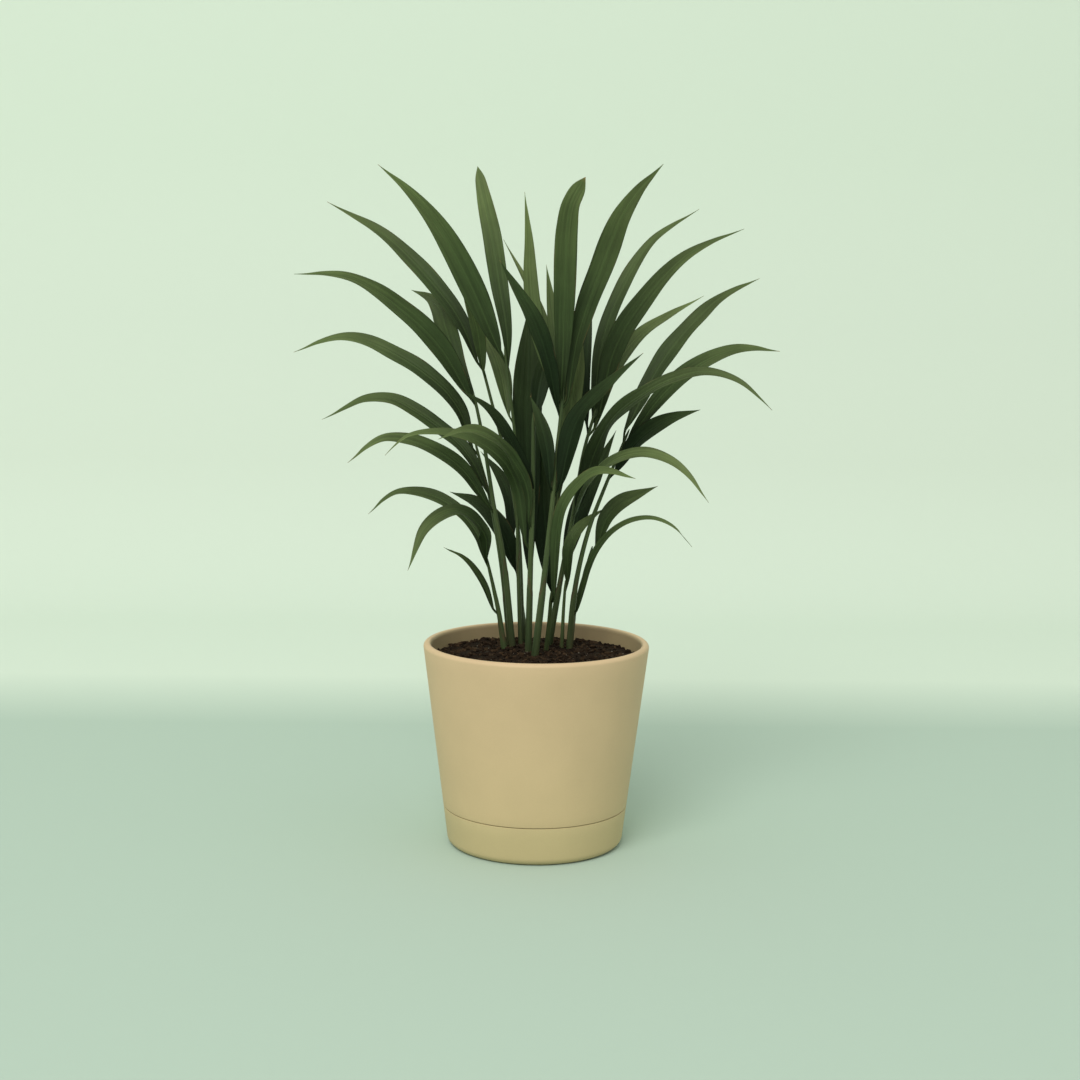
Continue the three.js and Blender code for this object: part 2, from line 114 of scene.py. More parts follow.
def blend_colour(tree, factor, a, b, how="MIX"):
    made = tree.nodes.new("ShaderNodeMix")
    made.data_type = "RGBA"
    made.blend_type = how
    for socket, value in ((0, factor), (6, a), (7, b)):
        if isinstance(value, bpy.types.NodeSocket):
            tree.links.new(value, made.inputs[socket])
        elif socket == 0:
            made.inputs[socket].default_value = value
        else:
            made.inputs[socket].default_value = (*value, 1)
    return made.outputs[2]


def toned(tree, colour, tone):
    """The colour made darker or lighter by a number."""
    grey = add(tree, "CombineColor", {"Red": tone, "Green": tone, "Blue": tone})
    return blend_colour(tree, 1.0, colour, grey.outputs["Color"], "MULTIPLY")


def calculate(tree, operation, *values):
    made = tree.nodes.new("ShaderNodeMath")
    made.operation = operation
    for socket, value in enumerate(values):
        if isinstance(value, bpy.types.NodeSocket):
            tree.links.new(value, made.inputs[socket])
        else:
            made.inputs[socket].default_value = value
    return made.outputs[0]


def between(tree, value, low, high, to_low=0.0, to_high=1.0):
    """The value taken from low..high to to_low..to_high, and held there outside."""
    return add(tree, "MapRange", {
        "Value": value, "From Min": low, "From Max": high,
        "To Min": to_low, "To Max": to_high,
    }).outputs["Result"]


def ramp(tree, value, stops):
    made = add(tree, "ValToRGB", {"Fac": value})
    elements = made.color_ramp.elements
    while len(elements) < len(stops):
        elements.new(0.5)
    for element, (place, colour) in zip(elements, stops):
        element.position = place
        element.color = (*colour, 1)
    return made.outputs["Color"]


def attribute(tree, name):
    """The three parts of a vector attribute of the mesh."""
    read = add(tree, "Attribute", attribute_name=name)
    parts = add(tree, "SeparateXYZ", {"Vector": read.outputs["Vector"]})
    return parts.outputs["X"], parts.outputs["Y"], parts.outputs["Z"]


def scaled(tree, vector, scale):
    return add(tree, "VectorMath", {0: vector, 1: scale}, operation="MULTIPLY").outputs[0]


def noise_value(tree, vector, scale, detail=3.0, rough=0.55):
    return add(tree, "TexNoise", {
        "Vector": vector, "Scale": scale, "Detail": detail, "Roughness": rough,
    }).outputs["Fac"]


def new_material(name, roughness, specular):
    material = bpy.data.materials.new(name)
    material.use_nodes = True
    tree = material.node_tree
    shader = tree.nodes["Principled BSDF"]
    shader.inputs["Roughness"].default_value = roughness
    shader.inputs["Specular IOR Level"].default_value = specular
    return material, tree, shader


def bump(tree, shader, height, strength, distance):
    made = add(tree, "Bump", {"Height": height, "Strength": strength, "Distance": distance})
    tree.links.new(made.outputs["Normal"], shader.inputs["Normal"])


# All colours are linear. A leaflet's greens are those at its base, along it and at its tip: the
# dark base is painted shade and the paler tip is painted light.
# The light, mid and dark slots are lit and shaded copies of one leaf green: the mid and dark
# greens are painted shade.
LEAF_GREENS_LIT_AND_SHADED = {
    "leaflet_light": (
        (0.026, 0.043, 0.014), (0.062, 0.093, 0.030), (0.112, 0.150, 0.050),
    ),
    "leaflet_mid": (
        (0.0135, 0.0235, 0.008), (0.037, 0.061, 0.0195), (0.094, 0.130, 0.044),
    ),
    "leaflet_dark": (
        (0.0055, 0.0112, 0.0042), (0.0135, 0.0255, 0.0098), (0.042, 0.066, 0.023),
    ),
}
# The darker slots get less gloss: painted shade in their sheen.
LEAF_GLOSS_LIT_AND_SHADED = {"leaflet_light": 0.18, "leaflet_mid": 0.13, "leaflet_dark": 0.08}
MIDRIB_PALER = 1.9  # a midrib's colour, of the green along its leaflet
MIDRIB_MIX = 0.4
UNDERSIDE_GREEN = (0.085, 0.135, 0.045)
UNDERSIDE_MIX = 0.14
RIM_BROWN_MIX = 0.4
DRY_BROWN = (0.230, 0.150, 0.060)
# A petiole's greens from its root to its top: darker at the soil end as painted shade, and a
# little darker again at the top.
STEM_GREENS_AND_SHADE = [
    (0.0, (0.022, 0.032, 0.013)), (0.16, (0.036, 0.058, 0.021)),
    (0.55, (0.062, 0.094, 0.033)), (1.0, (0.040, 0.064, 0.022)),
]
STEM_PATCH = (0.080, 0.098, 0.038)
HUSK_DARK = (0.028, 0.018, 0.009)
HUSK_LIGHT = (0.120, 0.080, 0.040)
EARTH_BROWNS = [
    (0.25, (0.0055, 0.0032, 0.0017)), (0.5, (0.019, 0.0108, 0.0052)),
    (0.75, (0.056, 0.034, 0.017)),
]
PALE_CRUMB = (0.26, 0.23, 0.18)
SAUCER_SANDS = [(0, (0.49, 0.41, 0.215)), (0.19, (0.52, 0.43, 0.23))]
POT_SANDS = [
    (0.2, (0.565, 0.445, 0.248)), (0.6, (0.58, 0.445, 0.258)), (1, (0.585, 0.44, 0.262)),
]
POT_INSIDE_SHADE = (0.31, 0.245, 0.132)
FLOOR_GREEN = (0.435, 0.555, 0.475)
FAR_GREENS = [
    (0.0, (0.645, 0.752, 0.650)), (0.25, (0.599, 0.698, 0.597)),
    (0.55, (0.606, 0.706, 0.606)), (1.0, (0.647, 0.750, 0.644)),
]
FAR_TOP = 0.55  # height at which the last of the far greens is reached
FAR_START, FAR_FULL = 0.3, 0.48  # distance behind the pot over which the floor turns to them


def leaf_material(slot):
    material, tree, shader = new_material(slot + "_look", 0.56, LEAF_GLOSS_LIT_AND_SHADED[slot])
    blade = add(tree, "Attribute", attribute_name="blade").outputs["Vector"]
    share, dry, under = attribute(tree, "look")
    rib, edge, shade = attribute(tree, "marks")
    # low, middle and high are the greens at the base, along it and at the tip: painted shade at
    # the base, painted light at the tip.
    low, middle, high = LEAF_GREENS_LIT_AND_SHADED[slot]
    green = ramp(tree, share, [(0.0, low), (0.45, middle), (1.0, high)])
    broad = noise_value(tree, scaled(tree, blade, (0.55, 0.012, 1)), 1.0, 2)
    fine = noise_value(tree, scaled(tree, blade, (2.6, 0.03, 1)), 1.0, 4, 0.62)
    patch = noise_value(tree, scaled(tree, blade, (0.06, 0.05, 1)), 1.0, 3)
    tone = calculate(tree, "MULTIPLY", between(tree, fine, 0.3, 0.7, 0.84, 1.14),
                     between(tree, patch, 0.3, 0.7, 0.88, 1.12))
    tone = calculate(tree, "MULTIPLY", tone, between(tree, broad, 0.35, 0.68, 0.88, 1.2))
    tone = calculate(tree, "MULTIPLY", tone, between(tree, shade, 0, 1, 0.84, 1.16))
    green = toned(tree, green, tone)
    pale = tuple(MIDRIB_PALER * c for c in middle)
    green = blend_colour(tree, calculate(tree, "MULTIPLY", rib, MIDRIB_MIX), green, pale)
    paler = blend_colour(tree, UNDERSIDE_MIX, green, UNDERSIDE_GREEN)
    green = blend_colour(tree, under, green, paler)
    spots = noise_value(tree, scaled(tree, blade, (0.3, 0.045, 1)), 1.0, 2)
    rim = calculate(tree, "MULTIPLY", edge, between(tree, spots, 0.56, 0.66))
    brown = calculate(tree, "MAXIMUM", dry, calculate(tree, "MULTIPLY", rim, RIM_BROWN_MIX))
    colour = blend_colour(tree, brown, green, DRY_BROWN)
    tree.links.new(colour, shader.inputs["Base Color"])
    tree.links.new(between(tree, fine, 0.3, 0.7, 0.48, 0.64), shader.inputs["Roughness"])
    height = calculate(tree, "ADD", fine, calculate(tree, "MULTIPLY", broad, 0.8))
    bump(tree, shader, height, 0.35, 0.25 * MM)
    return material


def petiole_material():
    material, tree, shader = new_material("petiole_look", 0.52, 0.2)
    blade = add(tree, "Attribute", attribute_name="blade").outputs["Vector"]
    share, dry, _ = attribute(tree, "look")
    # The green darkens towards the soil as painted shade.
    green = ramp(tree, share, STEM_GREENS_AND_SHADE)
    fine = noise_value(tree, scaled(tree, blade, (1.6, 0.04, 1)), 1.0, 4, 0.6)
    patch = noise_value(tree, scaled(tree, blade, (0.2, 0.03, 1)), 1.0, 3)
    green = blend_colour(tree, between(tree, patch, 0.45, 0.7, 0, 0.4), green, STEM_PATCH)
    green = toned(tree, green, between(tree, fine, 0.3, 0.7, 0.72, 1.25))
    husk = blend_colour(tree, between(tree, fine, 0.35, 0.65), HUSK_DARK, HUSK_LIGHT)
    colour = blend_colour(tree, dry, green, husk)
    tree.links.new(colour, shader.inputs["Base Color"])
    tree.links.new(between(tree, fine, 0.3, 0.7, 0.4, 0.58), shader.inputs["Roughness"])
    bump(tree, shader, fine, 0.4, 0.3 * MM)
    return material


def soil_material():
    material, tree, shader = new_material("soil_look", 0.95, 0.12)
    place = add(tree, "TexCoord").outputs["Object"]
    shade, pale, _ = attribute(tree, "look")
    grain = noise_value(tree, place, 900, 6, 0.7)
    clump = noise_value(tree, place, 120, 3)
    tone = calculate(tree, "ADD", calculate(tree, "MULTIPLY", grain, 0.6),
                     calculate(tree, "MULTIPLY", shade, 0.4))
    earth = ramp(tree, tone, EARTH_BROWNS)
    earth = toned(tree, earth, between(tree, clump, 0.35, 0.65, 0.7, 1.2))
    colour = blend_colour(tree, pale, earth, PALE_CRUMB)
    tree.links.new(colour, shader.inputs["Base Color"])
    bump(tree, shader, grain, 0.8, 0.6 * MM)
    return material


def plastic_material(name, stops):
    """Matte moulded plastic. Its colour changes a little with height, and the inside of the pot
    is painted darker, as painted shade."""
    material, tree, shader = new_material(name, 0.6, 0.3)
    place = add(tree, "TexCoord").outputs["Object"]
    parts = add(tree, "SeparateXYZ", {"Vector": place}).outputs
    height = parts["Z"]
    colour = ramp(tree, between(tree, height, 0, POT_HEIGHT), stops)
    radius = calculate(tree, "SQRT", calculate(
        tree, "ADD", calculate(tree, "MULTIPLY", parts["X"], parts["X"]),
        calculate(tree, "MULTIPLY", parts["Y"], parts["Y"]),
    ))
    # Painted shade: from 3.4 to 4.6 mm in from the outside surface the colour turns to a darker
    # brown, so the inside of the pot is darker.
    surface = between(tree, height, 0, LIP_HEIGHT, outside(0), RIM_RADIUS)
    inside = between(tree, calculate(tree, "SUBTRACT", surface, radius), 3.4 * MM, 4.6 * MM)
    colour = blend_colour(tree, inside, colour, POT_INSIDE_SHADE)
    cloud = noise_value(tree, place, 26, 4)
    grain = noise_value(tree, place, 2600, 2)
    tone = calculate(tree, "MULTIPLY", between(tree, cloud, 0.3, 0.7, 0.965, 1.035),
                     between(tree, grain, 0.3, 0.7, 0.975, 1.025))
    colour = toned(tree, colour, tone)
    tree.links.new(colour, shader.inputs["Base Color"])
    tree.links.new(between(tree, cloud, 0.3, 0.7, 0.54, 0.66), shader.inputs["Roughness"])
    bump(tree, shader, grain, 0.12, 0.15 * MM)
    return material


def backdrop_material():
    material, tree, shader = new_material("backdrop_look", 0.9, 0.1)
    place = add(tree, "TexCoord").outputs["Object"]
    parts = add(tree, "SeparateXYZ", {"Vector": place}).outputs
    far = ramp(tree, between(tree, parts["Z"], 0, FAR_TOP), FAR_GREENS)
    distance = between(tree, parts["Y"], FAR_START, FAR_FULL)
    colour = blend_colour(tree, distance, FLOOR_GREEN, far)
    tree.links.new(colour, shader.inputs["Base Color"])
    return material


# ------------------------------------------------------------------ reading the frame


def slot_of(node):
    return NODES[node].data.materials[0].name.split(".")[0]


def skeleton(node):
    """A node's corners, each once, and the set of corners that each one shares an edge with."""
    mesh = NODES[node].data
    places = np.empty(3 * len(mesh.vertices))
    mesh.vertices.foreach_get("co", places)
    points, corner = np.unique(
        np.round(places.reshape(-1, 3), 7), axis=0, return_inverse=True
    )
    corner = corner.reshape(-1)
    near = [set() for _ in points]
    for edge in mesh.edges:
        a, b = (int(corner[v]) for v in edge.vertices)
        if a != b:
            near[a].add(b)
            near[b].add(a)
    return points, near


def layers_from(start, near):
    """The corners one edge away from the start, two edges away, and so on."""
    seen = {start}
    layers = [[start]]
    while layers[-1]:
        ahead = sorted({b for a in layers[-1] for b in near[a]} - seen)
        seen.update(ahead)
        layers.append(ahead)
    return layers[:-1]


def unit(vectors):
    lengths = np.linalg.norm(vectors, axis=-1, keepdims=True)
    return vectors / np.maximum(lengths, 1e-12)


def along_of(centres):
    return unit(np.gradient(centres, axis=0))


def follow(stops, values, at):
    """Values known at the stops, read at other places on a smooth curve through them."""
    slopes = np.gradient(values, stops, axis=0)
    i = np.clip(np.searchsorted(stops, at, side="right") - 1, 0, len(stops) - 2)
    span = (stops[i + 1] - stops[i])[:, None]
    t = (at - stops[i])[:, None] / span
    return (
        (2 * t**3 - 3 * t**2 + 1) * values[i]
        + (t**3 - 2 * t**2 + t) * span * slopes[i]
        + (3 * t**2 - 2 * t**3) * values[i + 1]
        + (t**3 - t**2) * span * slopes[i + 1]
    )


def lengths_of(centres):
    steps = np.linalg.norm(np.diff(centres, axis=0), axis=1)
    return np.concatenate([[0], np.cumsum(steps)])


CAD_PETIOLE_SIDES = 8


def petiole_line(node):
    """A petiole's middle line from its root to its crown, and its radius, every mm."""
    points, near = skeleton(node)
    ends = [i for i, around in enumerate(near) if len(around) == CAD_PETIOLE_SIDES]
    root = min(ends, key=lambda i: points[i][2])
    rings = [points[layer] for layer in layers_from(root, near)[1:-1]]
    centres = np.array([ring.mean(0) for ring in rings])
    radii = np.array([
        np.linalg.norm(ring - ring.mean(0), axis=1).mean() for ring in rings
    ])
    stops = lengths_of(centres)
    at = np.linspace(0, stops[-1], int(stops[-1] / MM) + 1)
    rows = follow(stops, np.column_stack([centres, radii]), at)
    return at, rows[:, :3], rows[:, 3]


CAD_FOLD = math.radians(14)  # each half of a CAD leaflet rises this much from its midrib


def blade_rows(node):
    """Cross-sections of a CAD leaflet from its base to its tip: the middle, the direction
    to its right edge, the direction its upper face looks, and half its width."""
    points, near = skeleton(node)
    reach = [
        max(np.linalg.norm(points[b] - points[a]) for b in near[a]) for a in range(len(near))
    ]
    layers = layers_from(int(np.argmin(reach)), near)  # the base's neighbours are all close
    tip = layers[-1][0]
    centres, ups, edges, halves = [], [], [], []
    for layer in layers[1:-1]:
        ring = points[layer]
        apart = np.linalg.norm(ring[:, None] - ring[None], axis=2)
        a, b = np.unravel_index(apart.argmax(), apart.shape)
        top, under = (ring[i] for i in range(4) if i not in (a, b))
        edge_line = (ring[a] + ring[b]) / 2
        midrib = (top + under) / 2
        up = unit(top - under)
        ups.append(up if up @ (edge_line - midrib) > 0 else -up)
        edges.append(ring[b] - ring[a])
        centres.append((edge_line + midrib) / 2)
        halves.append(apart.max() / 2 / math.cos(CAD_FOLD))
    centres.append(points[tip])
    along = along_of(np.array(centres))
    sides = []
    for direction, up, edge in zip(along, ups, edges):
        square = np.cross(direction, up)
        sides.append(unit(edge if edge @ square > 0 else -edge))
    ups.append(ups[-1])
    sides.append(sides[-1])
    halves.append(0)
    return np.array(centres), np.array(sides), np.array(ups), np.array(halves)


# ------------------------------------------------------------------ making meshes


def new_piece(name, vertices, faces, node, material, attributes=None, sharp=None):
    """A mesh that stands for a CAD node, riding on the root body."""
    mesh = bpy.data.meshes.new(name)
    mesh.from_pydata([tuple(v) for v in vertices], [], faces)
    for title, values in (attributes or {}).items():
        made = mesh.attributes.new(title, "FLOAT_VECTOR", "POINT")
        made.data.foreach_set("vector", np.asarray(values, np.float32).reshape(-1))
    mesh.polygons.foreach_set("use_smooth", [True] * len(mesh.polygons))
    if sharp is not None:
        mesh.set_sharp_from_angle(angle=math.radians(sharp))
    mesh.materials.append(material)
    mesh.validate()
    made = bpy.data.objects.new(name, mesh)
    bpy.context.scene.collection.objects.link(made)
    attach(made, "root")
    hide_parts(node)
    return made


def skin_faces(count, sides):
    """Faces of a closed skin over rings of points, whose last two points are its ends."""
    faces = []
    start = count * sides
    for k in range(sides):
        following = (k + 1) % sides
        faces.append((start, following, k))
        top = (count - 1) * sides
        faces.append((start + 1, top + k, top + following))
        for ring in range(count - 1):
            low = ring * sides
            faces.append((low + k, low + following, low + sides + following, low + sides + k))
    return faces


# ------------------------------------------------------------------ petioles

PETIOLE_SIDES = 20
PETIOLE_STEP = 2.0 * MM
SHEATH_SHARE = 0.9  # radius above a sheath's mouth, of the radius below it
SHEATH_POINT = 9 * MM  # how far a sheath's mouth rises on one side
SHEATH_STEP = 1.6 * MM  # length over which the petiole thins at a mouth
DRY_BAND = 2.2 * MM  # half length of the dry band just under the lower mouth
DRYNESS = 0.75
CROWN_LENGTH = 7 * MM  # length over which a petiole closes at its top
CROWN_SHARE = 0.35  # radius at the top, of the radius before it closes
CHANNEL_DEPTH = 0.1  # of the radius
CHANNEL_WIDTH = 0.25
RIDGES = 7
RIDGE_HEIGHT = 0.02  # of the radius


def make_petiole(node, lines, material):
    at, centres, radii = lines[node]
    draw = random.Random(node)
    total = at[-1]
    rows = np.append(np.arange(0, total, PETIOLE_STEP), total)
    middle = np.column_stack([np.interp(rows, at, centres[:, i]) for i in range(3)])
    radius = np.interp(rows, at, radii)
    along = along_of(middle)
    right = unit(np.cross(along, np.array([0.0, 1.0, 0.0])))
    back = np.cross(along, right)
    angles = 2 * np.pi * np.arange(PETIOLE_SIDES) / PETIOLE_SIDES
    mouths = [(total * draw.uniform(0.3, 0.42), draw.uniform(*ANY_TURN)),
              (total * draw.uniform(0.56, 0.7), draw.uniform(*ANY_TURN))]
    channel = draw.uniform(*ANY_TURN)
    husk_height = draw.uniform(0.12, 0.34)
    vertices, blade, look = [], [], []
    for i, row in enumerate(rows):
        share = row / total
        closing = min(1, (total - row) / CROWN_LENGTH)
        for angle in angles:
            size = radius[i] * (CROWN_SHARE + (1 - CROWN_SHARE) * math.sqrt(closing))
            dry = 0.0
            for number, (mouth, turn) in enumerate(mouths):
                lip = mouth + SHEATH_POINT * math.cos(angle - turn) ** 3
                past = min(1, max(0, (row - lip) / SHEATH_STEP))
                size *= 1 - (1 - SHEATH_SHARE) * past * (1 if number == 0 else 0.5)
                if number == 0:
                    from_band = (row - lip + 1.5 * MM) / DRY_BAND
                    dry = max(dry, math.exp(-(from_band ** 2)) * DRYNESS)
            from_channel = math.sin((angle - channel) / 2) / CHANNEL_WIDTH
            size *= 1 - CHANNEL_DEPTH * math.exp(-(from_channel ** 2))
            size *= 1 + RIDGE_HEIGHT * math.cos(RIDGES * angle + 9 * share)
            husk = max(0, 1 - share / husk_height)
            dry = max(dry, DRYNESS * husk * (0.5 + 0.5 * math.cos(angle - channel)))
            offset = math.cos(angle) * right[i] + math.sin(angle) * back[i]
            vertices.append(middle[i] + size * offset)
            blade.append((PER_METRE * radius[i] * math.cos(angle) * 1.5 + math.sin(angle) * 2,
                          PER_METRE * row, 20 * channel))
            look.append((share, dry, 0))
    vertices += [middle[0], middle[-1] + along[-1] * 0.3 * radius[-1]]
    blade += [blade[0], blade[-1]]
    look += [look[0], look[-1]]
    new_piece(
        node + "_stem", vertices, skin_faces(len(rows), PETIOLE_SIDES), node, material,
        {"blade": blade, "look": look},
    )


# ------------------------------------------------------------------ leaflets

LEAF_ROWS = 62
HALF_COLUMNS = 11
ACROSS = np.array([
    math.copysign(abs(v) ** 1.35, v) for v in np.linspace(-1, 1, 2 * HALF_COLUMNS + 1)
])
NECK = 7 * MM  # how far down its petiole a leaflet's base reaches
NECK_FOLD = math.radians(34)  # how much more than the CAD's a leaflet is folded at its base
NECK_UNFOLDING = 14 * MM
THINNEST_HALF = 0.12 * MM
FULL_HALF = 5 * MM  # from this half width, pleats, rib and ripple are at full height
FOLD_ROUNDING = 0.02  # rounds off the fold at the midrib
FOLD_BOTTOM = 0.1414  # height of the rounded fold at the midrib
PLEAT_HEIGHT = 0.11 * MM
RIB_WIDTH = 0.42 * MM
RIB_HEIGHT = 0.1 * MM
EDGE_THICKNESS = 0.16 * MM
MIDDLE_THICKNESS = 0.2 * MM  # more than at the edge
RIB_THICKNESS = 0.42 * MM  # more again, where the rib is
RIM_WIDTH = 0.35 * MM
DRY_TIP = 0.022  # share of the most worn leaflet that is brown
DRY_FADE = 0.012


def with_neck(rows, line):
    """A leaflet's cross-sections with two more ahead of them, inside its petiole."""
    centres, sides, ups, halves = rows
    middle = line[1]
    nearest = int(np.linalg.norm(middle - centres[0], axis=1).argmin())
    low = max(0, nearest - int(NECK / MM))
    lower = max(0, low - 5)
    return (
        np.vstack([middle[lower], middle[low], centres]),
        np.vstack([sides[0], sides[0], sides]),
        np.vstack([ups[0], ups[0], ups]),
        np.concatenate([[0.6 * halves[0], 0.9 * halves[0]], halves]),
    )


def make_leaflet(node, line, material):
    draw = random.Random(node)
    centres, sides, ups, halves = with_neck(blade_rows(node), line)
    stops = lengths_of(centres)
    total = stops[-1]
    at = total * (1 - (1 - np.linspace(0, 0.994, LEAF_ROWS)) ** 1.12)
    packed = follow(stops, np.column_stack([centres, sides, ups, halves]), at)
    middle = packed[:, 0:3]
    half = np.clip(packed[:, 9], THINNEST_HALF, None)
    along = along_of(middle)
    up = packed[:, 6:9] - (packed[:, 6:9] * along).sum(1, keepdims=True) * along
    up = unit(up)
    side = np.cross(along, up)
    twist = math.radians(draw.uniform(-7, 7))
    swing = draw.uniform(*ANY_TURN)
    phases = draw.uniform(*ANY_TURN), draw.uniform(*ANY_TURN)
    wave = draw.uniform(34, 52) * MM
    ripple = draw.uniform(0.25, 0.55) * MM
    pleats = draw.choice((2.5, 3.0, 3.5))
    lean = draw.uniform(-0.35, 0.35)
    worn = draw.uniform(0.2, 1.0)
    shade = draw.random()
    neck_end = stops[2]
    top, under = [], []
    for i, place in enumerate(at):
        share = place / total
        turn = twist * math.sin(math.pi * share + swing)
        across = math.cos(turn) * side[i] + math.sin(turn) * up[i]
        above = math.cos(turn) * up[i] - math.sin(turn) * side[i]
        fold = CAD_FOLD + NECK_FOLD * math.exp(-max(0, place - neck_end) / NECK_UNFOLDING)
        fold *= 1 - 0.35 * share
        reach = half[i] * math.cos(fold)
        rise = half[i] * math.sin(fold) / 2
        fullness = min(1, half[i] / FULL_HALF)
        for u in ACROSS:
            bend = math.sqrt(u * u + FOLD_ROUNDING) - FOLD_BOTTOM
            bend /= math.sqrt(1 + FOLD_ROUNDING) - FOLD_BOTTOM
            height = rise * (2 * bend - 1)
            height += lean * rise * u * abs(u)
            height += PLEAT_HEIGHT * fullness * math.cos(2 * math.pi * pleats * u) * (1 - u**4)
            rib = math.exp(-((u * half[i] / RIB_WIDTH) ** 2))
            height += RIB_HEIGHT * rib * fullness
            phase = phases[0] if u > 0 else phases[1]
            height += ripple * fullness * u * u * math.sin(2 * math.pi * place / wave + phase)
            thick = EDGE_THICKNESS + MIDDLE_THICKNESS * (1 - abs(u))
            thick += RIB_THICKNESS * rib * (1 - 0.6 * share)
            thick *= 0.35 + 0.65 * fullness
            centre = middle[i] + u * reach * across
            top.append((centre + height * above, u, rib))
            under.append((centre + (height - thick) * above, u, rib))
    columns = len(ACROSS)
    vertices, blade, look, marks = [], [], [], []
    for i in range(len(at)):
        upper = top[i * columns:(i + 1) * columns]
        lower = under[i * columns:(i + 1) * columns]
        ring = [(p, 0.0) for p in upper] + [(p, 1.0) for p in reversed(lower[1:-1])]
        share = at[i] / total
        for (place, u, rib), below in ring:
            dry = min(1, max(0, (share - 1 + DRY_TIP * worn) / DRY_FADE)) * 0.9
            vertices.append(place)
            blade.append((PER_METRE * u * half[i], PER_METRE * at[i], 40 * shade + 7 * below))
            look.append((share, dry, below))
            marks.append((rib, max(0, 1 - (1 - abs(u)) * half[i] / RIM_WIDTH), shade))
    vertices += [middle[0], centres[-1]]
    for values in (blade, look, marks):
        values += [values[0], values[-1]]
    faces = [tuple(reversed(face)) for face in skin_faces(len(at), 2 * columns - 2)]
    new_piece(
        node + "_blade", vertices, faces, node, material,
        {"blade": blade, "look": look, "marks": marks},
    )


# ------------------------------------------------------------------ pot and saucer

TURNED_SIDES = 256
POT_WALL = 5 * MM
POT_FLOOR = 4 * MM
FOOT_HEIGHT = 3 * MM
FOOT_WIDTH = 4 * MM
LIP_RADIUS = POT_WALL / 2
DRAIN_RADIUS = 4 * MM
DRAIN_CIRCLE = 28 * MM
SAUCER_WALL = 2 * MM
SAUCER_FLOOR = 2.5 * MM
SAUCER_CORNER = 5 * MM
SEAM_CHAMFER = 0.4 * MM
SEAM_GAP = 0.4 * MM
NEST_GAP = 0.5 * MM
SHARP_ANGLE = 35  # degrees; edges of the pot and saucer that turn by more are drawn sharp

pot_low, pot_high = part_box("pot")
_, saucer_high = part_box("saucer")
RIM_RADIUS = pot_high.x
LIP_HEIGHT = pot_high.z - LIP_RADIUS
SEAM = saucer_high.z
TAPER = (RIM_RADIUS - saucer_high.x) / (LIP_HEIGHT - SEAM + SEAM_CHAMFER)


def outside(z):
    return RIM_RADIUS - TAPER * (LIP_HEIGHT - z)


def foot_outside(z):
    """The outside of the part of the pot that stands in the saucer."""
    return outside(z) - SAUCER_WALL - NEST_GAP


def cavity(z):
    return outside(z) - POT_WALL


def circle(radius, z, count):
    """Points round the Z axis at one height."""
    angles = [2 * math.pi * k / count for k in range(count)]
    return [(radius * math.cos(angle), radius * math.sin(angle), z) for angle in angles]


def arc(centre, radius, start, stop, steps):
    angles = np.radians(np.linspace(start, stop, steps + 1))
    return [(centre[0] + radius * math.cos(a), centre[1] + radius * math.sin(a)) for a in angles]


def rounded(points, radius, steps=3):
    """A profile with its inner corners rounded."""
    path = [points[0]]
    for before, here, after in zip(points, points[1:], points[2:]):
        a, b, c = (np.array(p) for p in (before, here, after))
        back, ahead = a - b, c - b
        reach = min(radius, 0.45 * np.linalg.norm(back), 0.45 * np.linalg.norm(ahead))
        first, last = b + unit(back) * reach, b + unit(ahead) * reach
        for t in np.linspace(0, 1, steps + 1):
            path.append(tuple((1 - t) ** 2 * first + 2 * t * (1 - t) * b + t * t * last))
    return [*path, points[-1]]


def turned(profile):
    """A lathe about Z of a profile that runs from the axis, round the outside, and back."""
    vertices = [(0, 0, profile[0][1]), (0, 0, profile[-1][1])]
    rings = profile[1:-1]
    for radius, z in rings:
        vertices.extend(circle(radius, z, TURNED_SIDES))
    faces = []
    for k in range(TURNED_SIDES):
        following = (k + 1) % TURNED_SIDES
        last = 2 + (len(rings) - 1) * TURNED_SIDES
        faces.append((0, 2 + following, 2 + k))
        faces.append((1, last + k, last + following))
        for ring in range(len(rings) - 1):
            low = 2 + ring * TURNED_SIDES
            high = low + TURNED_SIDES
            faces.append((low + k, low + following, high + following, high + k))
    return vertices, faces


def make_saucer(material):
    corner = (outside(SAUCER_CORNER) - SAUCER_CORNER, SAUCER_CORNER)
    inner = outside(SEAM) - SAUCER_WALL
    floor = outside(SAUCER_FLOOR) - SAUCER_WALL
    profile = [
        (0, 0),
        *arc(corner, SAUCER_CORNER, -90, 0, 12),
        *rounded([(outside(SEAM * 0.7), SEAM * 0.7), (outside(SEAM), SEAM), (inner, SEAM),
                  (floor, SAUCER_FLOOR), (floor - 6 * MM, SAUCER_FLOOR)], SEAM_CHAMFER),
        (0, SAUCER_FLOOR),
    ]
    vertices, faces = turned(profile)
    new_piece("saucer_shell", vertices, faces, "saucer", material, sharp=SHARP_ANGLE)


def drain_cutter(angle):
    shape = bmesh.new()
    bmesh.ops.create_cone(
        shape, cap_ends=True, segments=32, radius1=DRAIN_RADIUS, radius2=DRAIN_RADIUS,
        depth=4 * POT_FLOOR,
        matrix=Matrix.Translation((
            DRAIN_CIRCLE * math.cos(angle), DRAIN_CIRCLE * math.sin(angle),
            pot_low.z + FOOT_HEIGHT + POT_FLOOR / 2,
        )),
    )
    mesh = bpy.data.meshes.new("drain")
    shape.to_mesh(mesh)
    shape.free()
    return bpy.data.objects.new("drain", mesh)


